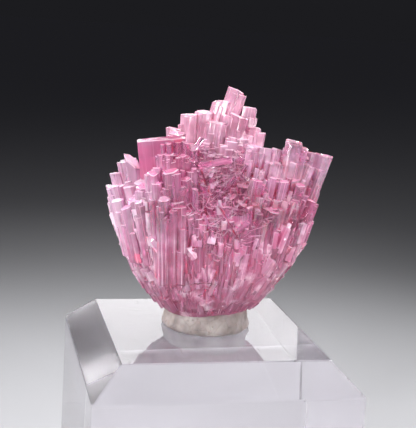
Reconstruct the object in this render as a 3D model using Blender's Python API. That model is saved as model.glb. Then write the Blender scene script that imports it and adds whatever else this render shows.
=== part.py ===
"""Pink tourmaline cluster, stuck with mounting putty to the top of a clear acrylic block.

The frame has its origin at the centre of the block's underside, +Z up, and -Y towards the viewer.
Sizes are in metres. Heights of the specimen and the putty are counted from the block's top face.
"""

import math
import random

import bmesh
import bpy
from mathutils import Matrix, Vector, noise

MM = 0.001
SEAT_GAP = 0.3 * MM  # left between pieces that rest on each other
WELD = 0.001 * MM  # corners closer than this are one corner

# Clear acrylic base: a square block whose four top edges are cut back at 45 degrees
BASE_SIDE = 32 * MM
BASE_HEIGHT = 30 * MM
BASE_BEVEL = 3.5 * MM
BASE_EDGE = 0.15 * MM  # the small polished break on every other edge

# Mounting putty: a thumb-pressed disc, a little off the block's centre
PUTTY_CENTRE = Vector((0.4, 1.6)) * MM
PUTTY_RADIUS = 5.3 * MM
PUTTY_HEIGHT = 2.5 * MM
PUTTY_SIDES = 28
PUTTY_WOBBLE = 0.25 * MM

# Outline of the specimen's lower part: each ring is its height and how far it reaches
# to the left, right, front and back of the root's centre, in mm.
OUTLINE_RINGS = (
    (2.8, 5.4, 5.9, 4.9, 4.4),
    (3.6, 6.8, 7.0, 6.0, 5.2),
    (5.0, 8.3, 8.3, 7.2, 6.2),
    (7.0, 9.7, 9.9, 8.0, 7.3),
    (9.0, 10.7, 11.6, 8.5, 8.2),
    (12.3, 12.2, 12.6, 8.9, 9.2),
    (16.0, 13.2, 13.4, 8.8, 10.0),
)
ROOT_CENTRE = Vector((0.2, 1.6)) * MM

# Root of the specimen: the grown-together inside that the stems and the free crystals rise from
ROOT_LEVELS = (2.8, 3.6, 5.0, 7.0, 9.0, 12.3)  # in mm
ROOT_INSET = 0.8 * MM  # how far it stays inside the outline, above its foot
ROOT_SIDES = 26
ROOT_ROUGHNESS = 0.4 * MM
ROOT_TOP_STEPS = (0.9, 0.72, 0.48, 0.24)  # shares of the top ring at which the top's inner rings lie
ROOT_TOP_DEPTH = 3.6 * MM  # how far the root's top stays under the crystals' ends

# Broken stems round the root, in tiers: height of their ends in mm, and how many
STEM_TIERS = ((5.6, 14), (8.4, 17), (11.0, 19), (13.4, 20), (15.6, 20))
STEM_RADIUS = (0.85 * MM, 1.35 * MM)
STEM_LENGTH = 4.6 * MM
STEM_SINK = 1.35  # how far inside the outline a stem's foot lies, in radii

# Free crystals fan out from a point far below the block's top
FAN_FOCUS = Vector((0.2, 1.6, -25.0)) * MM

# Heights that the crystals reach, in mm, along lines from left to right: (depth, ((across, height), ...))
CREST = (
    (-6.8, ((-10, 14), (-7, 16.5), (-4, 15.5), (-1, 14.5), (3, 15), (5, 16.5), (9, 16), (12, 13.5))),
    (-3.5, ((-12, 15.5), (-9.5, 18.5), (-8, 21), (-4, 20.5), (-1, 18), (2, 18), (5, 19.5), (9, 19), (13, 15))),
    (-0.5, ((-13, 17), (-10.5, 19.5), (-4, 22.5), (-1, 20.5), (3, 21), (8, 22.5), (12, 21.5), (15, 20))),
    (3.0, ((-12.5, 18), (-9, 20.5), (-4, 22.5), (0, 22), (5, 22.5), (10, 21), (14, 18.5))),
    (6.5, ((-11, 16.5), (-7, 20), (-2, 23), (3, 24), (7, 23.5), (12, 17))),
    (9.5, ((-7, 17), (-4, 22), (1, 25), (5, 27), (8, 23), (10, 16))),
)
FIELD_STEP = 2.35 * MM
FIELD_JITTER = 0.5 * MM
FIELD_RADIUS = (0.85 * MM, 1.3 * MM)
FIELD_LENGTH = 8.0 * MM
FIELD_DROP = 1.6 * MM  # the most that a crystal stays under the crest
FIELD_HALF_WIDTHS = (12.2 * MM, 8.4 * MM)  # of the oval that the crystals' ends fill
FIELD_CLOSEST = 0.75  # nearer than this share of two radii, a crystal of the field gives way
SEED = 11

# Crystals that stand out in the photograph: middle of the end across, in depth and in height, and the radius,
# in mm, the lean to the right and to the back in degrees, and the length in mm.
LEFT_BLOCK = (
    (-9.4, -1.4, 23.8, 1.2, -9, -2, 13),
    (-7.6, -0.9, 24.2, 1.3, -8, -2, 13),
    (-5.6, -0.4, 24.6, 1.2, -6, -2, 13),
    (-3.7, -0.2, 23.3, 1.1, -4, -2, 12),
    (-8.9, -3.2, 23.0, 1.0, -9, -6, 14),
    (-6.9, -3.0, 22.4, 1.1, -7, -6, 14),
    (-4.9, -3.0, 22.2, 1.0, -5, -6, 14),
    (-8.4, -4.8, 20.5, 0.9, -8, -8, 13),
    (-6.6, -5.2, 20.9, 1.0, -6, -8, 13),
    (-4.8, -5.2, 20.0, 0.8, -5, -8, 13),
    (-7.4, -6.3, 17.8, 0.8, -6, -10, 11),
    (-5.7, -6.7, 16.9, 0.9, -5, -10, 10),
)
LEFT_RIM = (
    (-12.5, 0.3, 18.0, 1.1, -16, 0, 7),
    (-12.0, -2.0, 16.4, 1.2, -17, -5, 7),
    (-10.6, 1.8, 20.9, 1.1, -14, 2, 9),
    (-12.1, 1.6, 19.3, 0.7, -16, 2, 8),
    (-10.2, -3.6, 17.0, 1.1, -16, -7, 8),
)
RIGHT_WALL = (
    (4.7, -0.4, 23.4, 0.9, 4, -2, 10),
    (6.3, -0.5, 22.8, 1.0, 5, -2, 10),
    (8.0, -1.0, 24.2, 1.0, 7, -2, 11),
    (9.6, -1.0, 24.0, 1.0, 8, -2, 11),
    (11.5, -0.3, 22.9, 1.1, 11, -1, 10),
    (14.3, 0.4, 22.4, 1.0, 17, 0, 10),
    (13.0, -0.6, 20.8, 0.9, 16, -2, 9),
    (4.2, -4.9, 19.9, 0.9, 3, -7, 11),
    (6.0, -4.9, 20.3, 0.8, 5, -7, 11),
    (7.7, -4.6, 19.8, 1.0, 7, -7, 11),
    (10.0, -3.6, 19.2, 1.1, 9, -6, 10),
    (11.8, -2.2, 17.2, 1.1, 16, -4, 8),
    (12.8, -0.4, 16.5, 0.9, 17, 0, 6),
)
BACK_PEAK = (
    (4.9, 10.9, 29.2, 1.2, 18, 8, 12),
    (3.4, 10.4, 27.6, 1.2, 16, 8, 12),
    (6.8, 10.2, 26.9, 1.1, 11, 8, 12),
    (7.2, 8.4, 24.5, 1.1, 8, 6, 11),
    (0.7, 10.1, 26.3, 1.2, 6, 8, 12),
    (-1.5, 9.8, 25.9, 1.2, 1, 8, 12),
    (-3.8, 9.0, 24.1, 1.0, -4, 7, 11),
    (4.6, 8.3, 26.2, 1.3, 12, 5, 12),
    (2.0, 8.0, 25.2, 1.3, 6, 5, 12),
)
# Short crystals that lie across the dip in the middle
CROSS_CRYSTALS = (
    (1.0, -0.6, 21.3, 0.5, 76, -8, 5),
    (-1.2, 2.4, 23.8, 0.45, 32, 0, 5),
    (1.6, -3.2, 17.6, 0.6, -34, -20, 5),
    (-1.8, -2.6, 18.6, 0.6, 28, -20, 5),
)


def flat_material(name, colour, roughness, transmission, ior):
    """A Principled material of one colour, on its own slot."""
    material = bpy.data.materials.new(name)
    material.use_nodes = True
    shader = material.node_tree.nodes["Principled BSDF"]
    shader.inputs["Base Color"].default_value = (*colour, 1.0)
    shader.inputs["Roughness"].default_value = roughness
    shader.inputs["Metallic"].default_value = 0.0
    shader.inputs["Transmission Weight"].default_value = transmission
    shader.inputs["IOR"].default_value = ior
    return material


def add_object(name, bm, collection):
    """Turns a finished bmesh into an object of the scene."""
    mesh = bpy.data.meshes.new(name)
    bmesh.ops.recalc_face_normals(bm, faces=bm.faces)
    bm.to_mesh(mesh)
    bm.free()
    obj = bpy.data.objects.new(name, mesh)
    collection.objects.link(obj)
    return obj


def between(points, at):
    """The value at a place on a line of (place, value) points, held level past its ends."""
    if at <= points[0][0]:
        return points[0][1]
    for (left, low), (right, high) in zip(points, points[1:]):
        if at <= right:
            return low + (high - low) * (at - left) / (right - left)
    return points[-1][1]


def crest_height(x, y):
    """How high crystals whose tips stand at (x, y) reach, in metres above the block's top."""
    column = [(depth, between(line, x / MM)) for depth, line in CREST]
    return between(column, y / MM) * MM


def outline_point(angle, height, inset):
    """The point this far inside the specimen's outline at an angle and a height."""
    sides = [[(ring[0], ring[k]) for ring in OUTLINE_RINGS] for k in (1, 2, 3, 4)]
    left, right, front, back = (between(side, height / MM) * MM - inset for side in sides)
    across = right if math.cos(angle) > 0 else left
    deep = back if math.sin(angle) > 0 else front
    return ROOT_CENTRE + Vector((math.cos(angle) * across, math.sin(angle) * deep))


def direction_of(lean_right, lean_back):
    """The unit vector of an axis that leans by these degrees."""
    right, back = math.tan(math.radians(lean_right)), math.tan(math.radians(lean_back))
    return Vector((right, back, 1.0)).normalized()


def named_crystals():
    """The crystals placed one by one, as (tip, axis, length, radius)."""
    placed = []
    for x, y, z, radius, right, back, length in LEFT_BLOCK + LEFT_RIM + RIGHT_WALL + BACK_PEAK + CROSS_CRYSTALS:
        placed.append((Vector((x, y, z)) * MM, direction_of(right, back), length * MM, radius * MM))
    return placed


def field_crystals(named):
    """Crystals that fill the rest of the crest, on a staggered grid, as (tip, axis, length, radius)."""
    draw = random.Random(SEED)
    half_x, half_y = FIELD_HALF_WIDTHS
    rows = int(half_y / FIELD_STEP) + 1
    columns = int(half_x / FIELD_STEP) + 1
    placed = []
    for row in range(-rows, rows + 1):
        for column in range(-columns, columns + 1):
            x = (column + 0.5 * (row % 2)) * FIELD_STEP + draw.uniform(-FIELD_JITTER, FIELD_JITTER)
            y = row * FIELD_STEP + draw.uniform(-FIELD_JITTER, FIELD_JITTER)
            radius = draw.uniform(*FIELD_RADIUS)
            drop = draw.uniform(0.0, FIELD_DROP)
            if (x / half_x) ** 2 + (y / half_y) ** 2 > 1:
                continue
            x, y = x + ROOT_CENTRE.x, y + ROOT_CENTRE.y
            tip = Vector((x, y, crest_height(x, y) - drop))
            if any((tip.xy - other.xy).length < FIELD_CLOSEST * (radius + size) for other, _, _, size in named):
                continue
            placed.append((tip, (tip - FAN_FOCUS).normalized(), FIELD_LENGTH, radius))
    return placed


def stem_crystals():
    """Broken stems lying along the root's outside, in tiers, as (tip, axis, length, radius)."""
    draw = random.Random(SEED + 1)
    placed = []
    for tier, (height, count) in enumerate(STEM_TIERS):
        for k in range(count):
            angle = math.tau * (k + 0.5 * (tier % 2) + draw.uniform(-0.25, 0.25)) / count
            top = (height + draw.uniform(-1.0, 1.0)) * MM
            radius = draw.uniform(*STEM_RADIUS)
            tip = Vector((*outline_point(angle, top, radius), top))
            low = max(top - STEM_LENGTH, OUTLINE_RINGS[0][0] * MM + radius)
            foot = Vector((*outline_point(angle, low, STEM_SINK * radius), low))
            placed.append((tip, (tip - foot).normalized(), (tip - foot).length, radius))
    return placed


def crystal_prism(tip, axis, length, radius, draw, collection, name):
    """One six-sided crystal: a prism with unequal faces, a chamfered rim and a flat end."""
    bm = bmesh.new()
    turn = draw.uniform(0, math.tau)
    angles = [turn + math.tau * (k + draw.uniform(-0.12, 0.12)) / 6 for k in range(6)]
    rim = draw.uniform(0.72, 0.88)
    chamfer = draw.uniform(0.10, 0.22) * radius
    levels = ((-length, 1.0), (-chamfer, 1.0), (0.0, rim))
    rings = [[bm.verts.new((math.cos(a) * radius * s, math.sin(a) * radius * s, z)) for a in angles]
             for z, s in levels]
    for low, high in zip(rings, rings[1:]):
        for k in range(6):
            bm.faces.new((low[k - 1], low[k], high[k], high[k - 1]))
    bm.faces.new(rings[-1])
    bm.faces.new(rings[0])
    turned = axis.to_track_quat("Z", "Y").to_matrix().to_4x4()
    bm.transform(Matrix.Translation(tip + Vector((0, 0, BASE_HEIGHT))) @ turned)
    add_object(name, bm, collection)


def root_mass(collection):
    """The grown-together stems under the free crystals: rough rings up the side and over the top."""
    bm = bmesh.new()
    rings = []
    for height in ROOT_LEVELS:
        inset = ROOT_INSET if rings else 0.0
        outline = [outline_point(math.tau * k / ROOT_SIDES, height * MM, inset) for k in range(ROOT_SIDES)]
        rings.append([Vector((*point, height * MM)) for point in outline])
    rim = [point.xy for point in rings[-1]]
    for share in ROOT_TOP_STEPS:
        level = []
        for point in rim:
            point = ROOT_CENTRE + (point - ROOT_CENTRE) * share
            level.append(Vector((*point, crest_height(point.x, point.y) - ROOT_TOP_DEPTH)))
        rings.append(level)
    for level in rings[1:]:
        for point in level:
            rough = noise.noise(point * 260) * ROOT_ROUGHNESS
            point.xy += (point.xy - ROOT_CENTRE).normalized() * rough
    rings = [[bm.verts.new(point + Vector((0, 0, BASE_HEIGHT))) for point in level] for level in rings]
    for low, high in zip(rings, rings[1:]):
        for k in range(ROOT_SIDES):
            bm.faces.new((low[k - 1], low[k], high[k], high[k - 1]))
    bm.faces.new(rings[-1])
    bm.faces.new(rings[0])
    bmesh.ops.triangulate(bm, faces=bm.faces)
    return add_object("root", bm, collection)


def outer_shell(bm):
    """Fills the hollows closed in between crystals, by leaving only the largest connected surface."""
    unseen = set(bm.verts)
    shells = []
    while unseen:
        shell = {unseen.pop()}
        edge_of_shell = list(shell)
        while edge_of_shell:
            vert = edge_of_shell.pop()
            near = {edge.other_vert(vert) for edge in vert.link_edges} - shell
            shell |= near
            edge_of_shell.extend(near)
        unseen -= shell
        shells.append(shell)
    shells.sort(key=len)
    inner = [vert for shell in shells[:-1] for vert in shell]
    bmesh.ops.delete(bm, geom=inner, context="VERTS")


def tourmaline_cluster(scene_collection):
    """The specimen: its root and all its crystals joined into one solid."""
    crystals = bpy.data.collections.new("crystals")
    scene_collection.children.link(crystals)
    named = named_crystals()
    draw = random.Random(SEED + 2)
    for k, (tip, axis, length, radius) in enumerate(named + field_crystals(named) + stem_crystals()):
        crystal_prism(tip, axis, length, radius, draw, crystals, f"crystal_{k:03d}")
    root = root_mass(scene_collection)
    join = root.modifiers.new("grow_together", "BOOLEAN")
    join.operation = "UNION"
    join.operand_type = "COLLECTION"
    join.collection = crystals
    join.solver = "EXACT"
    joined = bmesh.new()
    joined.from_object(root, bpy.context.evaluated_depsgraph_get())
    for obj in [root, *crystals.objects]:
        bpy.data.objects.remove(obj, do_unlink=True)
    bpy.data.collections.remove(crystals)
    outer_shell(joined)
    bmesh.ops.remove_doubles(joined, verts=joined.verts, dist=WELD)
    cluster = add_object("tourmaline_cluster", joined, scene_collection)
    cluster.data.materials.append(flat_material("tourmaline", (0.72, 0.26, 0.42), 0.15, 0.5, 1.63))
    return cluster


def putty_disc(collection):
    """The pressed putty: a round lump with a bulging, slightly uneven side."""
    bm = bmesh.new()
    levels = ((0.0, 0.97), (0.25, 1.0), (0.7, 1.0), (1.0, 0.93))
    rings = []
    for share, swell in levels:
        verts = []
        for k in range(PUTTY_SIDES):
            angle = math.tau * k / PUTTY_SIDES
            uneven = PUTTY_WOBBLE * math.sin(3 * angle + 0.6) * math.cos(angle - 1.1)
            reach = PUTTY_RADIUS * swell + uneven
            point = PUTTY_CENTRE + Vector((math.cos(angle), math.sin(angle))) * reach
            verts.append(bm.verts.new((*point, BASE_HEIGHT + SEAT_GAP + share * PUTTY_HEIGHT)))
        rings.append(verts)
    for low, high in zip(rings, rings[1:]):
        for k in range(PUTTY_SIDES):
            bm.faces.new((low[k - 1], low[k], high[k], high[k - 1]))
    bm.faces.new(rings[-1])
    bm.faces.new(rings[0])
    disc = add_object("putty_disc", bm, collection)
    disc.data.shade_smooth()
    disc.data.set_sharp_from_angle(angle=math.radians(50))
    disc.data.materials.append(flat_material("putty", (0.62, 0.58, 0.54), 0.8, 0.0, 1.45))
    return disc


def acrylic_base(collection):
    """The block: a cube cut back round its top face, with every edge broken a little."""
    bm = bmesh.new()
    bmesh.ops.create_cube(bm, size=1.0)
    bm.transform(Matrix.Diagonal((BASE_SIDE, BASE_SIDE, BASE_HEIGHT, 1.0)))
    bm.transform(Matrix.Translation((0, 0, BASE_HEIGHT / 2)))
    top_edges = [edge for edge in bm.edges if all(v.co.z > BASE_HEIGHT * 0.9 for v in edge.verts)]
    bmesh.ops.bevel(bm, geom=top_edges, offset=BASE_BEVEL, offset_type="OFFSET", segments=1,
                    affect="EDGES", profile=0.5)
    block = add_object("acrylic_base", bm, collection)
    polish = block.modifiers.new("polished_edges", "BEVEL")
    polish.width = BASE_EDGE
    polish.segments = 1
    polish.limit_method = "ANGLE"
    polish.angle_limit = math.radians(30)
    block.data.materials.append(flat_material("acrylic", (0.95, 0.96, 0.97), 0.02, 1.0, 1.49))
    return block


def main():
    for obj in list(bpy.data.objects):
        bpy.data.objects.remove(obj, do_unlink=True)
    collection = bpy.context.scene.collection
    acrylic_base(collection)
    putty_disc(collection)
    tourmaline_cluster(collection)


main()
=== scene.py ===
"""Pink tourmaline cluster on its acrylic base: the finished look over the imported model."""

import math
import random

import bmesh
import bpy
from mathutils import Matrix, Vector, noise
from mathutils.bvhtree import BVHTree


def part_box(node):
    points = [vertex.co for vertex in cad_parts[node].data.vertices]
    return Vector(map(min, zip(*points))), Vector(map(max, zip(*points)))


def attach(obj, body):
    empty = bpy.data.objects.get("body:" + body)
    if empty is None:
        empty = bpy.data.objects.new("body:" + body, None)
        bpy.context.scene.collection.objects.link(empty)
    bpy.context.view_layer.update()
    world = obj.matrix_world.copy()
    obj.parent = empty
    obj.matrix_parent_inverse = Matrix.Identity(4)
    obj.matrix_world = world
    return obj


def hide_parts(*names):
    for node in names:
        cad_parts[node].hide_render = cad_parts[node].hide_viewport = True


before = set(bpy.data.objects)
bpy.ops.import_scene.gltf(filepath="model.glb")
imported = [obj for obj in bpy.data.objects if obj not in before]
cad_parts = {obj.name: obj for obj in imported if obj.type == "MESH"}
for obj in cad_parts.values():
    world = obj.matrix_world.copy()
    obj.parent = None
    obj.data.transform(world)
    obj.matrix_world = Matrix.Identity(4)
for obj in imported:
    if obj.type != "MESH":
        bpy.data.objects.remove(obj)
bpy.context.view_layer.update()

# noise vectors start from the clock unless they are seeded
noise.seed_set(7)

MM = 0.001
BASE_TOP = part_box("acrylic_base")[1][2]

# the photograph's view, in millimetres above the floor
TARGET = Vector((-0.53, 0.0, 44.70))
TURN, RISE, ROLL = (math.radians(a) for a in (-13.87, 11.75, 3.78))
DISTANCE = 123.70
BACKWARD = Vector((math.sin(TURN) * math.cos(RISE), -math.cos(TURN) * math.cos(RISE), math.sin(RISE)))
LEVEL_RIGHT = (-BACKWARD).cross(Vector((0, 0, 1))).normalized()
LEVEL_UP = LEVEL_RIGHT.cross(-BACKWARD)
VIEW_RIGHT = LEVEL_RIGHT * math.cos(ROLL) + LEVEL_UP * math.sin(ROLL)
VIEW_UP = -LEVEL_RIGHT * math.sin(ROLL) + LEVEL_UP * math.cos(ROLL)
EYE = TARGET + BACKWARD * DISTANCE

# the specimen's layout, as in the solids: millimetres above the block's top face
OUTLINE_RINGS = (
    (2.1, 5.2, 5.0, 4.6, 4.2),
    (2.8, 6.1, 6.0, 5.0, 4.4),
    (3.6, 7.0, 7.1, 6.0, 5.2),
    (5.0, 8.3, 8.3, 7.2, 6.2),
    (7.0, 9.7, 9.9, 8.0, 7.3),
    (9.0, 10.7, 11.6, 8.5, 8.2),
    (12.3, 12.2, 12.6, 8.9, 9.2),
    (16.0, 13.2, 13.4, 8.8, 10.0),
)
ROOT_CENTRE = Vector((0.2, 1.6))
FAN_FOCUS = Vector((0.2, 1.6, -25.0))
CREST = (
    (-6.8, ((-10, 14), (-7, 16.5), (-4, 15.5), (-1, 14.5), (3, 15), (5, 16.5), (9, 16), (12, 13.5))),
    (-3.5, ((-12, 15.5), (-9.5, 18.5), (-8, 21), (-4, 20.5), (-1, 18), (2, 18), (5, 19.5), (9, 19), (13, 15))),
    (-0.5, ((-13, 17), (-10.5, 19.5), (-4, 22.5), (-1, 20.5), (3, 21), (8, 22.5), (12, 21.5), (15, 20))),
    (3.0, ((-12.5, 18), (-9, 20.5), (-4, 22.5), (0, 22), (5, 22.5), (10, 21), (14, 18.5))),
    (6.5, ((-11, 16.5), (-7, 20), (-2, 23), (3, 24), (7, 23.5), (12, 17))),
    (9.5, ((-7, 17), (-4, 22), (1, 25), (5, 27), (8, 23), (10, 16))),
)
NAMED = (
    (-5.0, 0.4, 24.6, 1.0, -6, -2, 13),
    (-3.7, -0.2, 23.3, 1.1, -4, -2, 12),
    (-9.3, -3.0, 18.6, 0.9, -10, -6, 9),
    (-6.9, -3.0, 22.4, 1.1, -7, -6, 14),
    (-4.9, -3.0, 22.2, 1.0, -5, -6, 14),
    (-8.4, -4.8, 20.5, 0.9, -8, -8, 13),
    (-6.6, -5.2, 20.9, 1.0, -6, -8, 13),
    (-4.8, -5.2, 20.0, 0.8, -5, -8, 13),
    (-7.4, -6.3, 17.8, 0.8, -6, -10, 11),
    (-5.7, -6.7, 16.9, 0.9, -5, -10, 10),
    (-12.6, 0.3, 18.0, 0.85, -16, 0, 7),
    (-12.2, -1.6, 16.6, 0.8, -17, -5, 7),
    (-11.2, -2.7, 16.0, 0.8, -16, -6, 7),
    (-10.6, 1.8, 20.9, 1.1, -14, 2, 9),
    (-12.1, 1.6, 19.3, 0.7, -16, 2, 8),
    (-9.9, -3.8, 16.9, 0.8, -14, -7, 8),
    (4.7, -0.4, 23.4, 0.9, 4, -2, 10),
    (6.1, -0.5, 23.2, 0.9, 5, -2, 10),
    (7.6, -1.0, 23.2, 0.8, 6, -2, 11),
    (9.7, -1.8, 24.3, 1.3, 7, -3, 11),
    (11.5, -0.3, 22.9, 1.1, 11, -1, 10),
    (14.3, 0.4, 22.4, 1.0, 17, 0, 10),
    (13.0, -0.6, 20.8, 0.9, 16, -2, 9),
    (4.2, -4.9, 19.9, 0.6, 3, -7, 11),
    (6.0, -4.9, 20.3, 0.5, 5, -7, 11),
    (7.4, -4.8, 19.9, 0.65, 7, -7, 11),
    (9.6, -3.9, 19.4, 0.8, 9, -6, 10),
    (11.8, -2.2, 17.2, 0.9, 16, -4, 8),
    (12.8, -0.4, 16.5, 0.9, 17, 0, 6),
    (4.9, 10.9, 29.2, 1.2, 18, 8, 12),
    (3.4, 10.4, 27.6, 1.2, 16, 8, 12),
    (6.8, 10.2, 26.9, 1.1, 11, 8, 12),
    (7.2, 8.4, 24.5, 1.1, 8, 6, 11),
    (0.7, 10.1, 26.3, 1.2, 6, 8, 12),
    (-1.5, 9.8, 25.9, 1.2, 1, 8, 12),
    (-3.8, 9.0, 24.1, 1.0, -4, 7, 11),
    (4.6, 8.3, 26.2, 1.3, 12, 5, 12),
    (2.0, 8.0, 25.2, 1.3, 6, 5, 12),
    (-1.2, 2.4, 23.8, 0.45, 32, 0, 5),
    (1.6, -3.2, 17.6, 0.6, -34, -20, 5),
    (-1.8, -2.6, 18.6, 0.6, 28, -20, 5),
)


def between(points, at):
    """Reads a height or a reach off a line of points, straight between them."""
    if at <= points[0][0]:
        return points[0][1]
    for (left, low), (right, high) in zip(points, points[1:]):
        if at <= right:
            return low + (high - low) * (at - left) / (right - left)
    return points[-1][1]


def crest_height(x, y):
    """How high the crystals' tips reach over a place."""
    return between([(depth, between(line, x)) for depth, line in CREST], y)


def outline_point(angle, height, inset):
    """A point on the specimen's outside, or a little inside it."""
    sides = [[(ring[0], ring[k]) for ring in OUTLINE_RINGS] for k in (1, 2, 3, 4)]
    left, right, front, back = (between(side, height) - inset for side in sides)
    across = right if math.cos(angle) > 0 else left
    deep = back if math.sin(angle) > 0 else front
    return ROOT_CENTRE + Vector((math.cos(angle) * across, math.sin(angle) * deep))


def is_inside(p, inset):
    """True where a point lies within the specimen's outside, less the inset."""
    sides = [[(ring[0], ring[k]) for ring in OUTLINE_RINGS] for k in (1, 2, 3, 4)]
    left, right, front, back = (max(between(side, p.z) - inset, 0.5) for side in sides)
    x, y = p.x - ROOT_CENTRE.x, p.y - ROOT_CENTRE.y
    return (x / (right if x > 0 else left)) ** 2 + (y / (back if y > 0 else front)) ** 2 < 1.0


def rooted(tip, axis, length, radius):
    """The length at which a crystal's lower end is buried in the mass and not out in the open."""
    step = 0.4
    for k in range(int(length / step), 4, -1):
        low = tip - axis * (k * step)
        if low.z > 3.4 and is_inside(low, radius * 0.9):
            return k * step
    return length


def direction_of(lean_right, lean_back):
    """The unit direction of a crystal that leans by these degrees."""
    return Vector((math.tan(math.radians(lean_right)), math.tan(math.radians(lean_back)), 1.0)).normalized()


# EDGE marks the chamfered rims of the crystals, whose paler material is a painted highlight
SIDE, EDGE, END, MASS, NEEDLE, CLEAR, SLAB_FACE = range(7)


class Crystals:
    """Makes closed crystals, each an object of its own, ready to be joined."""

    def __init__(self, seed):
        self.draw = random.Random(seed)
        self.pieces = []

    def outline(self, sides):
        """A cross-section with three to six uneven flat sides, each finely grooved."""
        draw = self.draw
        corners = draw.choice((3, 4, 5, 5, 6, 6))
        bulge = {3: 0.5, 4: 0.14, 5: 0.06, 6: 0.03}[corners]
        size = {3: 1.12, 4: 1.1, 5: 1.06, 6: 1.03}[corners]
        squash = draw.uniform(0.78, 1.0)
        turns = [math.tau * (k + draw.uniform(-0.28, 0.28)) / corners for k in range(corners)]
        tips = [Vector((math.cos(a), math.sin(a))) for a in turns]
        strips = max(2, sides // corners)
        shape = []
        for a, b in zip(tips, tips[1:] + tips[:1]):
            for k in range(strips):
                at = (k + draw.uniform(-0.3, 0.3)) / strips if k else 0.0
                groove = draw.choice((0.0, 0.02, 0.04, 0.08)) * draw.random() if k % 2 else 0.0
                r = size * (1.0 + bulge * 4 * at * (1 - at)) * (1.0 - groove)
                p = a.lerp(b, at) * r
                shape.append((p.x, p.y * squash))
        return shape

    def add(self, tip, axis, length, radius, sides=20, tone=None, broken=0.12, shape=None, turn=None, parts=None,
            tilt=None):
        """One prism with a chamfered, slightly tilted end."""
        draw = self.draw
        turn = draw.uniform(0, math.tau) if turn is None else turn
        tone = draw.random() if tone is None else tone
        shape = shape or self.outline(sides)
        parts = parts or (SIDE, EDGE, END)
        n = len(shape)
        rim = draw.uniform(0.86, 0.95)
        chamfer = min(draw.uniform(0.05, 0.16) * radius, 0.16)
        tilt_a, tilt_b = (draw.uniform(-1.5 * broken, 1.5 * broken) for _ in range(2))
        quat = axis.to_track_quat("Z", "Y").to_matrix() @ Matrix.Rotation(turn, 3, "Z")
        levels = [(-length, 1.0), (-0.5 * length, 1.0), (-chamfer, 1.0), (0.0, rim)]
        if tilt:
            tilt_a, tilt_b = tilt
        off = draw.uniform(0, 50)
        verts, faces, depth, grain, part = [], [], [], [], []
        for z, s in levels:
            w = 1.0 + draw.uniform(-0.02, 0.02)
            for px, py in shape:
                wz = z
                if z > -chamfer * 1.01:
                    wz = z + (px * tilt_a + py * tilt_b) * radius
                verts.append(tip + quat @ Vector((px * radius * s * w, py * radius * s * w, wz)))
                depth.append(-z)
        for level in range(len(levels) - 1):
            low, high = level * n, (level + 1) * n
            for k in range(n):
                j = (k + 1) % n
                faces.append((low + k, low + j, high + j, high + k))
                u0, u1 = k * math.tau * radius / n + off, (k + 1) * math.tau * radius / n + off
                v0, v1 = levels[level][0], levels[level + 1][0]
                grain.extend(((u0, v0), (u1, v0), (u1, v1), (u0, v1)))
        part.extend([parts[0]] * (n * (len(levels) - 2)) + [parts[1]] * n)
        last = (len(levels) - 1) * n
        if radius > 0.45:
            sunk = draw.uniform(0.45, 0.7)
            for px, py in shape:
                uneven = draw.choice((-0.14, -0.06, 0.0, 0.03)) * radius + (px * tilt_a + py * tilt_b) * radius * sunk
                verts.append(tip + quat @ Vector((px * radius * sunk, py * radius * sunk, uneven)))
                depth.append(0.0)
            for k in range(n):
                j = (k + 1) % n
                faces.append((last + k, last + j, last + n + j, last + n + k))
                grain.extend((shape[i][0] * radius * s + off, 40 + shape[i][1] * radius * s)
                             for i, s in ((k, 1), (j, 1), (j, sunk), (k, sunk)))
            part.extend([parts[2]] * n)
            last += n
        apex = len(verts)
        verts.append(tip + quat @ Vector((0, 0, draw.uniform(-0.10, 0.08) * radius)))
        depth.append(0.0)
        for k in range(n):
            j = (k + 1) % n
            faces.append((last + k, last + j, apex))
            grain.extend(((shape[k][0] * radius + off, 40 + shape[k][1] * radius),
                          (shape[j][0] * radius + off, 40 + shape[j][1] * radius), (off, 40)))
        part.extend([parts[2]] * n + [parts[0]])
        faces.append(tuple(reversed(range(n))))
        grain.extend([(off, 60)] * n)
        self.pieces.append(made_object(f"crystal_{len(self.pieces):03d}", verts, faces, depth, tone, grain, part))

    def bundle(self, tip, axis, length, radius, count, drops=(0.2, 0.4, 0.9, 1.8, 3.2, 5.0), parts=None):
        """A crystal with thinner ones grown along its sides, which end lower."""
        draw = self.draw
        tone = draw.random()
        self.add(tip, axis, length, radius, 24 if radius > 0.8 else 14, tone, parts=parts)
        side_a = axis.orthogonal().normalized()
        side_b = axis.cross(side_a)
        for k in range(count):
            a = math.tau * (k + draw.uniform(-0.3, 0.3)) / count
            small = radius * draw.uniform(0.3, 0.7)
            shift = (side_a * math.cos(a) + side_b * math.sin(a)) * (radius * 0.95 - small * draw.uniform(0.2, 0.6))
            drop = draw.choice(drops) * draw.uniform(0.7, 1.2)
            if drop > length * 0.7:
                continue
            top = tip + shift - axis * drop
            self.add(top, axis, length - drop, small, 12, min(max(tone + draw.uniform(-0.25, 0.25), 0), 1),
                     parts=parts)


def made_object(name, verts, faces, depth, tone, grain, part):
    """A mesh object with what the materials read: the depth below the tip, a tone and a grain map."""
    mesh = bpy.data.meshes.new(name)
    mesh.from_pydata([tuple(v) for v in verts], [], faces)
    for key, values in (("below_tip", depth), ("tone", [tone] * len(verts))):
        mesh.attributes.new(key, "FLOAT", "POINT").data.foreach_set("value", values)
    mesh.polygons.foreach_set("material_index", part)
    mesh.uv_layers.new(name="grain").data.foreach_set("uv", [c for uv in grain for c in uv])
    for material in MATERIALS:
        mesh.materials.append(material)
    return bpy.data.objects.new(name, mesh)


SLAB = ((-2.8, -0.9), (-1.4, -0.97), (0.1, -1.0), (1.5, -1.02), (2.9, -1.0), (3.0, 0.2), (2.7, 0.7), (0.4, 0.9),
        (-1.6, 0.7), (-2.7, 0.6))


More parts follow.
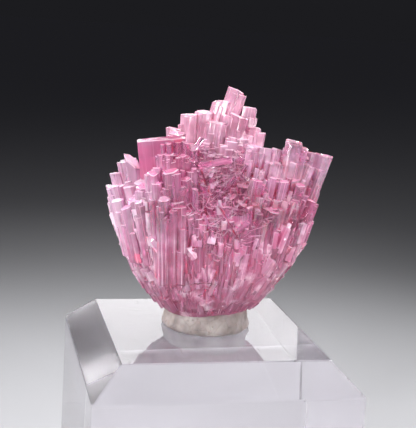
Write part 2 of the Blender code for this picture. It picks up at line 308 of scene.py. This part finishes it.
def place_named(crystals):
    """The crystals that the photograph shows one by one."""
    named = []
    for x, y, z, radius, right, back, length in NAMED:
        tip, axis = Vector((x, y, z)), direction_of(right, back)
        named.append((tip, axis, radius))
        glassy = x > 4.0 and y < 2.0 and z > 20.5
        if z > 14 and abs(right) < 30:
            length = rooted(tip, axis, length, radius)
        crystals.bundle(tip, axis, length, radius, 8 if radius > 0.75 else 0,
                        parts=(CLEAR, EDGE, END) if glassy else None)
    crystals.add(Vector((-7.2, -0.7, 24.0)), direction_of(-9, -2), 12, 1.0, tone=0.45,
                 broken=0.02, shape=SLAB, turn=math.radians(72), parts=(SLAB_FACE, EDGE, SLAB_FACE))
    crystals.add(Vector((1.35, -2.7, 21.9)), direction_of(78, -8), 4.2, 0.32, sides=12, tone=2.0, turn=0.5,
                 broken=0.3)
    crystals.add(Vector((-10.3, -0.2, 21.1)), direction_of(-12, 0), 8, 1.0, sides=12, tone=0.1,
                 turn=math.radians(72), tilt=(-0.9, 0.3))
    return named


# a row of rods across a group: depth, then place, height and lean at its left end, and height at its right
LEFT_ROWS = ((-2.1, -6.7, 23.9, -8, 24.2), (-2.8, -7.1, 23.5, -8, 23.6), (-3.6, -7.5, 22.6, -8, 22.4),
             (-4.5, -8.0, 21.2, -8, 21.0), (-5.4, -8.5, 19.4, -7, 19.2), (-6.2, -8.8, 17.4, -7, 17.4),
             (-6.9, -8.6, 15.4, -7, 15.4))
RIGHT_ROWS = ((-1.4, 3.8, 22.9, 4, 22.4), (-2.4, 3.8, 22.0, 4, 21.6), (-3.4, 3.8, 20.2, 4, 19.6),
              (-4.3, 3.8, 19.2, 4, 18.2), (-5.2, 3.8, 18.0, 3, 17.0), (-6.0, 3.8, 16.6, 3, 15.8))


def place_rows(crystals, rows, right, right_lean, draw, parts=None):
    """Slim rods grown tight together, which make the two upright groups."""
    for depth, left, left_top, left_lean, right_top in rows:
        count = int((right - left) / 0.64)
        for k in range(count + 1):
            at = (k + draw.uniform(-0.3, 0.3)) / count
            x = left + (right - left) * at
            top = left_top + (right_top - left_top) * at
            top += 0.5 * noise.noise(Vector((x * 0.9, depth * 0.9, 1.7))) - draw.choice((0.0, 0.1, 0.4, 1.1))
            lean = left_lean + (right_lean - left_lean) * at
            tip = Vector((x, depth + draw.uniform(-0.3, 0.3), top))
            axis = direction_of(lean + draw.uniform(-1.5, 1.5), -4 + depth + draw.uniform(-1.5, 1.5))
            radius = draw.uniform(0.26, 0.56)
            if is_inside(tip, 0.3):
                length = rooted(tip, axis, draw.uniform(8, 11), radius)
                crystals.bundle(tip, axis, length, radius, 2, (0.4, 0.9, 1.6, 2.6, 4.0, 5.5), parts)


FIELD_STEP = 1.02


def place_field(crystals, named, draw):
    """The crowd of crystals between the named ones, which end in small terraces."""
    hosts = []
    for row in range(-11, 12):
        for column in range(-14, 15):
            x = (column + 0.5 * (row % 2)) * FIELD_STEP + draw.uniform(-0.35, 0.35)
            y = row * FIELD_STEP * 0.88 + draw.uniform(-0.35, 0.35)
            radius = draw.uniform(0.5, 0.95)
            if (x / 12.3) ** 2 + (y / 8.6) ** 2 > 1:
                continue
            x, y = x + ROOT_CENTRE.x, y + ROOT_CENTRE.y
            terrace = noise.noise(Vector((x * 0.32, y * 0.32, 3.3)))
            drop = max(0.9 + 1.6 * terrace + draw.uniform(-0.35, 0.35), 0.0)
            height = crest_height(x, y) - drop
            for other, axis, size in named:
                apart = Vector((x, y)) - other.xy - axis.xy / axis.z * (height - other.z)
                if apart.length < 0.8 * size + 0.5 * radius:
                    height = min(height, other.z - draw.uniform(0.6, 2.5))
            tip = Vector((x, y, height))
            axis = (tip - FAN_FOCUS).normalized()
            axis = (axis + Vector((draw.uniform(-0.04, 0.04), draw.uniform(-0.04, 0.04), 0))).normalized()
            crystals.bundle(tip, axis, draw.uniform(6, 8), radius, 1, (0.3, 0.7, 1.2))
            hosts.append((tip, axis, radius))
    return hosts


STEM_TIERS = ((5.4, 1.5), (8.4, 1.3), (11.0, 1.2), (13.4, 1.1), (15.8, 1.1))


def place_stems(crystals, draw):
    """The ribs that lie along the outside and end at different heights."""
    for tier, (height, spacing) in enumerate(STEM_TIERS):
        around = int(math.tau * (outline_point(0, height, 0) - ROOT_CENTRE).length * 0.86 / spacing)
        for k in range(around):
            angle = math.tau * (k + 0.5 * (tier % 2) + draw.uniform(-0.3, 0.3)) / around
            top = height + draw.uniform(-1.6, 1.6)
            radius = draw.uniform(0.45, 1.1 if top < 12 else 0.8)
            inset = radius * draw.uniform(1.0, 1.2) + (0.25 if top < 10 else 0.1)
            tip = Vector((*outline_point(angle, top, inset), top))
            low = max(top - draw.uniform(5.0, 8.0), 2.9 + 0.6 * radius)
            foot = Vector((*outline_point(angle + draw.uniform(-0.05, 0.05), low, 1.3 * radius), low))
            if (tip - foot).length < 1.2:
                continue
            crystals.bundle(tip, (tip - foot).normalized(), (tip - foot).length, radius, 2, (0.2, 0.6, 1.5, 3.0))


FRAGMENTS = 480


def place_fragments(crystals, draw):
    """Short broken prisms set askew in the lower body, which make it chunky."""
    for k in range(FRAGMENTS):
        coarse = k % 2 == 0
        height = draw.uniform(4.6, 14.0 if coarse else 17.0)
        angle = draw.uniform(0, math.tau)
        radius = draw.uniform(0.35, 0.95) if coarse else draw.uniform(0.2, 0.45)
        middle = Vector((*outline_point(angle, height, radius * draw.uniform(0.95, 1.15)), height))
        above = Vector((*outline_point(angle, height + 1.0, radius * 0.8), height + 1.0))
        along = (above - middle).normalized()
        askew = Vector((draw.uniform(-1, 1), draw.uniform(-1, 1), draw.uniform(-1, 1)))
        axis = (along + askew * draw.uniform(0.1, 0.55)).normalized()
        length = draw.uniform(1.0, 3.4 if coarse else 2.2)
        ends = [middle + axis * length * share for share in (0.5, -0.5)]
        if all(is_inside(end, radius * 0.75) for end in ends):
            crystals.add(ends[0], axis, length, radius, sides=10, tone=draw.uniform(0, 0.8), broken=0.35,
                         parts=(MASS, EDGE, MASS))


NEEDLES = 620
LATHS = 46


def place_needles(crystals, hosts, draw):
    """Fine needles that grow criss-cross out of the hollow in the middle."""
    hollow = [host for host in hosts if -3.2 < host[0].x < 4.6 and -7.5 < host[0].y < 1.5]
    for k in range(NEEDLES + LATHS):
        tip, axis, radius = draw.choice(hollow)
        lean = Vector((draw.uniform(-1, 1), draw.uniform(-1.3, 0.3), draw.uniform(0.0, 1.0))).normalized()
        aside = Vector((draw.uniform(-1, 1), draw.uniform(-1, 1), 0)) * 0.5 * radius
        root = tip - axis * draw.uniform(0.15, 2.8) + aside
        length = draw.uniform(1.2, 3.2)
        if k < NEEDLES:
            crystals.add(root + lean * length, lean, length, draw.uniform(0.025, 0.05), sides=6,
                         parts=(NEEDLE, NEEDLE, NEEDLE))
        else:
            lean = (axis + lean * 0.8).normalized()
            crystals.add(root + lean * length, lean, length + 0.8, draw.uniform(0.2, 0.42), sides=8)


ROOT_SIDES = 260
ROOT_RISE = (2.1, 2.4, 2.75, 2.95, 3.2, *(3.5 + 0.25 * k for k in range(50)))


def plate_relief(p):
    """Low, tilted plates with small steps between them, as broken crystal shows."""
    relief = 0.0
    for size, tall in ((2.6, 0.22), (1.1, 0.12)):
        centre = noise.voronoi(p / size)[1][0]
        tilt = noise.noise_vector(centre * 7.7)
        relief += tall * (noise.noise(centre * 3.1) * 1.6 + (p / size - centre).dot(tilt) * 1.4)
    return relief


def build_root():
    """The solid mass low down, which the crystals grow out of: ribbed, plated and uneven."""
    rings = []
    for height in ROOT_RISE:
        ring = []
        for k in range(ROOT_SIDES):
            angle = math.tau * k / ROOT_SIDES
            inset = between(((2.1, 0.0), (2.8, 0.1), (3.2, 0.4), (9.0, 0.4), (13.0, 0.7), (16.0, 1.5)), height)
            flat = outline_point(angle, height, inset)
            p = Vector((*flat, height))
            if height > 2.8:
                ribs = 0.30 * noise.noise(Vector((math.cos(angle) * 11, math.sin(angle) * 11, height * 0.12)))
                ribs += 0.16 * noise.noise(Vector((math.cos(angle) * 26, math.sin(angle) * 26, height * 0.3)))
                p.xy += (p.xy - ROOT_CENTRE).normalized() * (ribs + plate_relief(p))
            ring.append(p)
        rings.append(ring)
    rim = [p.copy() for p in rings[-1]]
    for share in (0.96, 0.9, 0.83, 0.75, 0.66, 0.56, 0.46, 0.36, 0.26, 0.16, 0.07):
        ring = []
        for p in rim:
            q = ROOT_CENTRE + (p.xy - ROOT_CENTRE) * share
            ring.append(Vector((*q, crest_height(q.x, q.y) - 3.0 + noise.noise(Vector((q.x, q.y, 5.0))) * 0.4)))
        rings.append(ring)
    verts = [p for ring in rings for p in ring]
    n = ROOT_SIDES
    faces = [tuple(reversed(range(n)))]
    grain = [(0.0, 0.0)] * n
    for level in range(len(rings) - 1):
        for k in range(n):
            j = (k + 1) % n
            faces.append((level * n + k, level * n + j, (level + 1) * n + j, (level + 1) * n + k))
            u0, u1 = k * 9.0 * math.tau / n, (k + 1) * 9.0 * math.tau / n
            v0, v1 = level * 0.25, (level + 1) * 0.25
            grain.extend(((u0, v0), (u1, v0), (u1, v1), (u0, v1)))
    apex = len(verts)
    verts.append(Vector((*ROOT_CENTRE, crest_height(*ROOT_CENTRE) - 3.0)))
    last = (len(rings) - 1) * n
    for k in range(n):
        faces.append((last + k, last + (k + 1) % n, apex))
        grain.extend([(0.0, 0.0)] * 3)
    obj = made_object("specimen_root", verts, faces, [7.0] * len(verts), 0.5, grain, [MASS] * len(faces))
    bpy.context.scene.collection.objects.link(obj)
    return obj


def joined(base, pieces, operation):
    """The mesh of base with all the pieces added to it or cut out of it."""
    group = bpy.data.collections.new("pieces")
    bpy.context.scene.collection.children.link(group)
    for piece in pieces:
        group.objects.link(piece)
    step = base.modifiers.new("join", "BOOLEAN")
    step.operation = operation
    step.operand_type = "COLLECTION"
    step.collection = group
    step.solver = "MANIFOLD"
    mesh = bpy.data.meshes.new_from_object(base.evaluated_get(bpy.context.evaluated_depsgraph_get()))
    for piece in [base, *pieces]:
        bpy.data.objects.remove(piece, do_unlink=True)
    bpy.data.collections.remove(group)
    return mesh


def groove(tree, name, line, width, deep):
    """A sharp-bottomed wedge along a line seen in the photograph, as deep as given below the surface."""
    eye = EYE - Vector((0, 0, BASE_TOP / MM))
    aim = TARGET - Vector((0, 0, BASE_TOP / MM))
    found = []
    for k in range(CREASE_STEPS + 1):
        at = k / CREASE_STEPS
        x, z = (between([(i / (len(line) - 1), p[axis]) for i, p in enumerate(line)], at) for axis in (0, 1))
        x += 0.12 * noise.noise(Vector((x * 2.1, z * 2.1, 1.0)))
        z += 0.16 * noise.noise(Vector((x * 2.1, z * 2.1, 9.0)))
        look = (aim + VIEW_RIGHT * x + VIEW_UP * z - eye).normalized()
        away = tree.ray_cast(eye, look)[3]
        if away:
            found.append((away, look))
    # the middle one of five neighbours passes over needles that stand in front
    middles = [sorted(away for away, _ in found[max(k - 2, 0):k + 3]) for k in range(len(found))]
    found = [(eye + look * near[len(near) // 2], look) for near, (_, look) in zip(middles, found)]
    verts, faces = [], []
    for k, (hit, look) in enumerate(found):
        ahead = found[min(k + 1, len(found) - 1)][0] - found[max(k - 1, 0)][0]
        across = ahead.cross(look).normalized()
        swell = math.sin(math.pi * (k + 0.7) / (len(found) + 0.4)) ** 0.5
        front = hit - look * 1.2
        verts.extend((front + across * width * 2.2 * swell, front - across * width * 2.2 * swell,
                      hit + look * deep * swell))
    n = 3
    for k in range(len(found) - 1):
        for i in range(n):
            j = (i + 1) % n
            faces.append((k * n + i, k * n + j, (k + 1) * n + j, (k + 1) * n + i))
    faces.append((0, 2, 1))
    last = (len(found) - 1) * n
    faces.append((last, last + 1, last + 2))
    corners = sum(len(f) for f in faces)
    obj = made_object(name, verts, faces, [7.0] * len(verts), 0.5, [(0.0, 0.0)] * corners, [MASS] * len(faces))
    bm = bmesh.new()
    bm.from_mesh(obj.data)
    bmesh.ops.recalc_face_normals(bm, faces=bm.faces)
    bm.to_mesh(obj.data)
    bm.free()
    return obj


CREASE_STEPS = 22
# each crease: its line in the photograph's own right and up, its half width and its depth
CREASES = (
    (((-0.9, 5.4), (0.2, 2.6), (1.9, 0.1), (4.0, -3.5)), 0.26, 0.6),
    (((-6.2, -8.9), (-2.7, -8.8), (0.2, -8.6), (1.3, -8.8)), 0.07, 0.45),
    (((-2.6, -4.5), (-2.5, -8.5)), 0.06, 0.5),
)


def build_specimen():
    """All crystals and the root joined into one outer surface, then the creases cut in."""
    crystals = Crystals(3)
    draw = random.Random(5)
    named = place_named(crystals)
    hosts = place_field(crystals, named, draw)
    place_rows(crystals, LEFT_ROWS, -3.6, -4, draw)
    place_rows(crystals, RIGHT_ROWS, 11.6, 14, draw, (CLEAR, EDGE, END))
    place_stems(crystals, draw)
    place_fragments(crystals, draw)
    place_needles(crystals, hosts, draw)
    crystals.add(Vector((-5.1, -7.1, 14.4)), direction_of(-5, -9), 3.0, 0.36, tone=2.4)
    obj = bpy.data.objects.new("specimen", joined(build_root(), crystals.pieces, "UNION"))
    bpy.context.scene.collection.objects.link(obj)
    tree = BVHTree.FromPolygons([v.co for v in obj.data.vertices], [tuple(f.vertices) for f in obj.data.polygons])
    creases = [groove(tree, f"crease_{k}", *crease) for k, crease in enumerate(CREASES)]
    cut = joined(obj, creases, "DIFFERENCE")
    obj = bpy.data.objects.new("specimen", cut)
    bpy.context.scene.collection.objects.link(obj)
    return obj


class Nodes:
    """Short calls for building a node material."""

    def __init__(self, name):
        self.material = bpy.data.materials.new(name)
        self.material.use_nodes = True
        self.tree = self.material.node_tree
        self.tree.nodes.clear()
        self.out = self.tree.nodes.new("ShaderNodeOutputMaterial")
        self.bsdf = self.tree.nodes.new("ShaderNodeBsdfPrincipled")
        self.tree.links.new(self.bsdf.outputs[0], self.out.inputs[0])

    def put(self, value, socket):
        if isinstance(value, bpy.types.NodeSocket):
            self.tree.links.new(value, socket)
        else:
            socket.default_value = value

    def set(self, **values):
        for key, value in values.items():
            self.put(value, self.bsdf.inputs[key.replace("_", " ")])

    def math(self, kind, a, b, clamp=False):
        node = self.tree.nodes.new("ShaderNodeMath")
        node.operation = kind
        node.use_clamp = clamp
        self.put(a, node.inputs[0])
        self.put(b, node.inputs[1])
        return node.outputs[0]

    def noise(self, vector, scale, detail=3.0, stretch=None):
        if stretch:
            mapping = self.tree.nodes.new("ShaderNodeMapping")
            mapping.inputs["Scale"].default_value = stretch
            self.put(vector, mapping.inputs["Vector"])
            vector = mapping.outputs[0]
        node = self.tree.nodes.new("ShaderNodeTexNoise")
        node.inputs["Scale"].default_value = scale
        node.inputs["Detail"].default_value = detail
        self.put(vector, node.inputs["Vector"])
        return node.outputs["Fac"]

    def voronoi(self, vector, scale, feature="F1", output="Distance"):
        node = self.tree.nodes.new("ShaderNodeTexVoronoi")
        node.feature = feature
        node.inputs["Scale"].default_value = scale
        self.put(vector, node.inputs["Vector"])
        return node.outputs[output]

    def place(self):
        return self.tree.nodes.new("ShaderNodeTexCoord").outputs["Object"]

    def attribute(self, name):
        node = self.tree.nodes.new("ShaderNodeAttribute")
        node.attribute_name = name
        return node.outputs["Fac"]

    def grain(self):
        node = self.tree.nodes.new("ShaderNodeUVMap")
        node.uv_map = "grain"
        return node.outputs[0]

    def span(self, value, low, high, to_low=0.0, to_high=1.0):
        node = self.tree.nodes.new("ShaderNodeMapRange")
        for key, number in (("Value", value), ("From Min", low), ("From Max", high), ("To Min", to_low),
                            ("To Max", to_high)):
            self.put(number, node.inputs[key])
        return node.outputs[0]

    def ramp(self, value, stops):
        node = self.tree.nodes.new("ShaderNodeValToRGB")
        ends = node.color_ramp.elements
        while len(ends) < len(stops):
            ends.new(0.5)
        for element, (position, colour) in zip(ends, stops):
            element.position = position
            element.color = (*colour, 1.0)
        self.put(value, node.inputs[0])
        return node.outputs[0]

    def blend(self, share, a, b):
        node = self.tree.nodes.new("ShaderNodeMix")
        node.data_type = "RGBA"
        self.put(share, node.inputs["Factor"])
        self.put(a if isinstance(a, bpy.types.NodeSocket) else (*a, 1.0), node.inputs["A"])
        self.put(b if isinstance(b, bpy.types.NodeSocket) else (*b, 1.0), node.inputs["B"])
        return node.outputs["Result"]

    def axis(self, vector, index):
        node = self.tree.nodes.new("ShaderNodeSeparateXYZ")
        self.put(vector, node.inputs[0])
        return node.outputs[index]

    def bump(self, height, strength, distance):
        node = self.tree.nodes.new("ShaderNodeBump")
        node.inputs["Strength"].default_value = strength
        node.inputs["Distance"].default_value = distance
        self.put(height, node.inputs["Height"])
        self.tree.links.new(node.outputs[0], self.bsdf.inputs["Normal"])


LIGHT, PALE = (0.98, 0.76, 0.90), (0.96, 0.57, 0.81)
ROSE, DEEP = (0.78, 0.20, 0.40), (0.56, 0.11, 0.24)
SALMON = (0.92, 0.40, 0.50)
HAZE_AND_GLINT = (0.96, 0.73, 0.86)
PAINTED_FOOT_SHADE = (0.31, 0.11, 0.155)
GLASS = (0.93, 0.48, 0.76)


def tourmaline_material(name, clear_tip, clear_body, deepen, streaks, haze, rough=0.04, warmth=0.55):
    """Pink tourmaline: paler and clearer towards the tips, deeper and cloudier in the body."""
    n = Nodes(name)
    place, grain = n.place(), n.grain()
    lines = n.noise(grain, 1.0, 4.0, (3.2, 0.10, 1.0))
    fine = n.noise(grain, 1.0, 2.0, (7.0, 0.05, 1.0))
    zones = n.noise(place, 230.0, 2.0)
    veils = n.noise(place, 520.0, 5.0)
    fall = n.span(n.attribute("below_tip"), 0.0, 7.0)
    tone = n.attribute("tone")
    depth = n.math("ADD", n.math("MULTIPLY", fall, 0.30), deepen)
    far_left = n.span(n.axis(place, 0), -0.006, -0.012)
    at_back = n.math("MULTIPLY", n.span(n.axis(place, 1), 0.002, 0.007), n.span(n.axis(place, 2), 0.045, 0.051))
    high = n.math("MULTIPLY", n.span(n.axis(place, 2), 0.046, 0.053), n.span(n.axis(place, 0), -0.003, 0.003))
    # low marks the foot of the specimen: it is painted darker there as shade, and also made less clear
    low = n.span(n.axis(place, 2), 0.045, 0.034)
    low_half = n.span(n.axis(place, 2), 0.050, 0.045)
    for value, middle, weight in ((zones, 0.5, 1.5), (lines, 0.5, streaks), (tone, 0.4, 0.36),
                                  (far_left, 0.0, -0.55), (at_back, 0.0, -0.8), (high, 0.0, -0.45), (low, 0.0, 0.30)):
        depth = n.math("ADD", depth, n.math("MULTIPLY", n.math("SUBTRACT", value, middle), weight))
    colour = n.ramp(depth, ((0.0, LIGHT), (0.15, PALE), (0.52, ROSE), (1.0, DEEP)))
    low_right = n.math("MULTIPLY", n.span(n.axis(place, 0), 0.002, 0.010), n.span(n.axis(place, 2), 0.046, 0.038))
    back_warm = n.math("MULTIPLY", n.span(n.axis(place, 1), 0.003, 0.008), n.span(n.axis(place, 2), 0.043, 0.048))
    warm = n.math("MAXIMUM", back_warm, n.math("MULTIPLY", low_right, 0.6))
    warm = n.math("MULTIPLY", warm, warmth)
    colour = n.blend(warm, colour, SALMON)
    # painted shade: the lowest part of the specimen, just above the putty, is blended towards a dark rose
    colour = n.blend(n.math("MULTIPLY", low, 0.68), colour, PAINTED_FOOT_SHADE)
    sugary = n.math("MULTIPLY", n.math("MULTIPLY", low_half, n.span(zones, 0.42, 0.62)), 0.05)
    milky = n.math("ADD", sugary, n.math("MULTIPLY", n.math("ADD", at_back, far_left), 0.11))
    cloudy = n.span(n.math("ADD", veils, milky), 0.53, 0.72)
    # painted highlight: thin pale lines along the grain stand in for glints on the striations; the haze colour serves
    # both these lines and the real milky patches
    painted_glint_lines = n.span(fine, 0.58, 0.66)
    pale = n.math("ADD", n.math("MULTIPLY", cloudy, haze), n.math("MULTIPLY", painted_glint_lines, 0.5 * streaks), True)
    colour = n.blend(pale, colour, HAZE_AND_GLINT)
    clear = n.span(fall, 0.0, 1.0, clear_tip, clear_body)
    clear = n.math("ADD", clear, n.math("MULTIPLY", n.math("SUBTRACT", zones, 0.5), -0.9))
    clear = n.math("SUBTRACT", clear, n.math("MULTIPLY", n.math("ADD", at_back, far_left), 0.25), True)
    clear = n.math("SUBTRACT", clear, n.math("MULTIPLY", low, 0.18))
    clear = n.math("SUBTRACT", clear, n.math("MULTIPLY", pale, 0.5), True)
    colour = n.blend(n.math("MULTIPLY", clear, 0.6), colour, GLASS)
    n.set(Base_Color=colour, Transmission_Weight=clear, IOR=1.63, Roughness=rough)
    n.set(Subsurface_Weight=0.2, Subsurface_Radius=(1.0, 0.45, 0.7), Subsurface_Scale=0.0007)
    grit = n.noise(place, 2600.0, 3.0)
    n.bump(n.math("ADD", lines, n.math("MULTIPLY", grit, 0.25)), 0.5, 0.00006)
    inside = n.tree.nodes.new("ShaderNodeVolumeAbsorption")
    inside.inputs["Color"].default_value = (1.0, 0.58, 0.82, 1.0)
    inside.inputs["Density"].default_value = 60.0
    n.tree.links.new(inside.outputs[0], n.out.inputs["Volume"])
    return n.material


def acrylic_material():
    """Clear acrylic, a little hazed and scratched on its top face."""
    n = Nodes("clear_acrylic")
    place = n.place()
    upper = n.span(n.axis(place, 2), BASE_TOP - 0.0004, BASE_TOP - 0.0001)
    scratch = n.noise(place, 1.0, 4.0, (180.0, 2600.0, 1.0))
    other = n.noise(place, 1.0, 3.0, (2400.0, 300.0, 1.0))
    marks = n.math("MAXIMUM", n.span(scratch, 0.60, 0.70), n.span(other, 0.64, 0.72))
    dull = n.math("MULTIPLY", marks, upper)
    scuffed = n.math("MULTIPLY", n.span(n.axis(place, 2), 0.0002, 0.0001), 0.9)
    dull = n.math("MAXIMUM", dull, scuffed)
    n.set(Base_Color=(0.94, 0.91, 0.955, 1.0), IOR=1.49)
    n.set(Transmission_Weight=n.span(dull, 0.0, 1.0, 0.985, 0.80))
    n.set(Roughness=n.span(dull, 0.0, 1.0, 0.012, 0.22))
    n.bump(n.math("MULTIPLY", scratch, upper), 0.15, 0.00002)
    return n.material


def putty_material():
    """Off-white mounting putty with grey smears, pits and fine cracks."""
    n = Nodes("mounting_putty")
    place = n.place()
    smears = n.noise(place, 420.0, 4.0)
    pits = n.span(n.noise(place, 1900.0, 3.0), 0.30, 0.40)
    cracks = n.span(n.voronoi(place, 620.0, "DISTANCE_TO_EDGE"), 0.0, 0.05)
    foot = n.span(n.axis(place, 2), BASE_TOP, BASE_TOP + 0.003)
    colour = n.ramp(smears, ((0.3, (0.18, 0.145, 0.14)), (0.5, (0.32, 0.27, 0.26)), (0.75, (0.48, 0.43, 0.41))))
    colour = n.blend(n.span(foot, 0.75, 1.0, 0.0, 0.55), colour, (0.36, 0.22, 0.24))
    colour = n.blend(n.span(pits, 0.0, 1.0, 0.55, 0.0), colour, (0.22, 0.18, 0.17))
    colour = n.blend(n.span(cracks, 0.0, 1.0, 0.30, 0.0), colour, (0.25, 0.20, 0.19))
    n.set(Base_Color=colour, Roughness=0.72, Subsurface_Weight=0.15, Subsurface_Scale=0.0006)
    n.bump(n.math("ADD", n.math("MULTIPLY", pits, 0.7), n.math("MULTIPLY", cracks, 0.3)), 0.8, 0.00015)
    return n.material


PUTTY_CENTRE = Vector((0.4, 1.6))
PUTTY_SIDES = 160
PUTTY_PROFILE = ((0.0, 0.99), (0.12, 1.03), (0.4, 1.04), (0.8, 1.02), (1.2, 1.0), (1.6, 0.985), (2.0, 0.97),
                 (2.35, 0.95), (2.6, 0.925), (2.78, 0.89), (2.85, 0.84), (2.8, 0.76), (2.7, 0.66))


def build_putty():
    """A pressed disc of putty with a thumbed, uneven wall that laps round the specimen's foot."""
    n = PUTTY_SIDES
    verts = []
    for z, reach in PUTTY_PROFILE:
        for k in range(n):
            angle = math.tau * k / n
            around = Vector((math.cos(angle), math.sin(angle)))
            tall = 0.93 + 0.12 * math.cos(angle) + 0.05 * noise.noise(Vector((*around * 2.2, 4.0)))
            p = Vector((*around * 5.3 * reach, z * (tall if z > 0.1 else 1.0)))
            if z > 0.1:
                lumps = 0.22 * noise.noise(Vector((*around * 2.6, z * 0.5)))
                lumps += 0.13 * noise.noise(p * 1.6) + 0.05 * noise.noise(p * 4.0)
                p.xy += around * lumps
            verts.append(p + Vector((*PUTTY_CENTRE, 0.0)))
    faces = [tuple(reversed(range(n)))]
    for level in range(len(PUTTY_PROFILE) - 1):
        for k in range(n):
            j = (k + 1) % n
            faces.append((level * n + k, level * n + j, (level + 1) * n + j, (level + 1) * n + k))
    last = (len(PUTTY_PROFILE) - 1) * n
    faces.append(tuple(last + k for k in range(n)))
    mesh = bpy.data.meshes.new("putty_pressed")
    mesh.from_pydata([tuple(v) for v in verts], [], faces)
    mesh.materials.append(putty_material())
    mesh.polygons.foreach_set("use_smooth", [len(f) < 5 for f in faces])
    obj = bpy.data.objects.new("putty_pressed", mesh)
    bpy.context.scene.collection.objects.link(obj)
    return obj


MATERIALS = (tourmaline_material("tourmaline_side", 0.84, 0.56, 0.30, 1.5, 0.30),
             # painted highlight: the chamfered rims are paler and less clear than the sides
             tourmaline_material("tourmaline_rim_highlight", 0.50, 0.45, -0.28, 0.3, 0.4),
             tourmaline_material("tourmaline_end", 0.45, 0.45, 0.42, 0.6, 0.2, 0.12),
             tourmaline_material("tourmaline_mass", 0.44, 0.44, 0.14, 0.8, 0.7, 0.08),
             tourmaline_material("tourmaline_needle", 0.45, 0.45, 0.0, 0.2, 0.25),
             tourmaline_material("tourmaline_clear", 0.66, 0.52, -0.36, 1.7, 0.5, warmth=0.1),
             tourmaline_material("tourmaline_slab", 0.60, 0.60, 0.74, 0.6, 0.0, rough=0.22))

above_block = Matrix.Translation((0, 0, BASE_TOP)) @ Matrix.Scale(MM, 4)
specimen = build_specimen()
specimen.data.transform(above_block)
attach(specimen, "root")
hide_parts("tourmaline_cluster")

putty = build_putty()
putty.data.transform(above_block)
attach(putty, "root")
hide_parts("putty_disc")

acrylic = acrylic_material()
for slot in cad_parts["acrylic_base"].material_slots:
    slot.material = acrylic

# the floor, the light and the camera
bpy.ops.mesh.primitive_circle_add(vertices=128, radius=3.0, fill_type="NGON", location=(0, 0, -0.0002))
floor = bpy.context.object
floor.name = "floor"
fm = bpy.data.materials.new("floor")
fm.use_nodes = True
fb = fm.node_tree.nodes["Principled BSDF"]
fb.inputs["Base Color"].default_value = (0.44, 0.44, 0.46, 1)
fb.inputs["Roughness"].default_value = 0.7
floor.data.materials.append(fm)

world = bpy.data.worlds.new("studio")
bpy.context.scene.world = world
world.use_nodes = True
tree = world.node_tree
direction = tree.nodes.new("ShaderNodeTexCoord")
height = tree.nodes.new("ShaderNodeSeparateXYZ")
sky = tree.nodes.new("ShaderNodeValToRGB")
sky.color_ramp.elements[0].color = (0.0115, 0.0115, 0.0136, 1)
sky.color_ramp.elements[1].color = (0.030, 0.030, 0.035, 1)
tree.links.new(direction.outputs["Generated"], height.inputs[0])
tree.links.new(height.outputs["Z"], sky.inputs[0])
tree.links.new(sky.outputs[0], tree.nodes["Background"].inputs[0])


def area(name, place, size, radiance, spread=math.pi, aim=(0.0, 0.0, 0.045), tall=1.0):
    """A soft box: a square, or taller than wide, that shines towards aim."""
    light = bpy.data.lights.new(name, "AREA")
    light.shape = "RECTANGLE"
    light.size = size
    light.size_y = size * tall
    light.energy = radiance * math.pi * size * size * tall
    light.spread = spread
    obj = bpy.data.objects.new(name, light)
    bpy.context.scene.collection.objects.link(obj)
    obj.location = place
    toward = Vector(aim) - Vector(place)
    obj.rotation_euler = toward.to_track_quat("-Z", "Y").to_euler()
    obj.visible_camera = False
    return obj


area("overhead", (0.0, 0.01, 0.30), 0.15, 1.0, math.radians(60))
area("key", (-0.19, -0.20, 0.22), 0.10, 2.0, math.radians(60))
area("fill", (0.22, -0.18, 0.12), 0.10, 1.5, math.radians(80))
for k, (x, y) in enumerate(((-0.175, -0.04), (-0.13, -0.14), (0.11, -0.15), (0.17, -0.06))):
    area(f"strip_{k}", (x, y, 0.085), 0.010, 8.5, math.radians(90), tall=10)
area("back_high", (0.05, 0.28, 0.13), 0.12, 0.25, math.radians(60))
area("back_left", (-0.18, 0.16, 0.13), 0.08, 3.6, math.radians(60))
area("back_right", (0.19, 0.15, 0.14), 0.08, 3.6, math.radians(60))

camera = bpy.data.objects.new("camera", bpy.data.cameras.new("camera"))
bpy.context.scene.collection.objects.link(camera)
placed = Matrix((VIEW_RIGHT, VIEW_UP, BACKWARD)).transposed().to_4x4()
placed.translation = EYE * MM
camera.matrix_world = placed
camera.data.sensor_width = 36
camera.data.lens = 1000 / 428 * 36
camera.data.clip_start = 0.005
camera.data.clip_end = 20
bpy.context.scene.camera = camera

scene = bpy.context.scene
scene.view_settings.view_transform = "Standard"
scene.cycles.max_bounces = 24
scene.cycles.transmission_bounces = 24
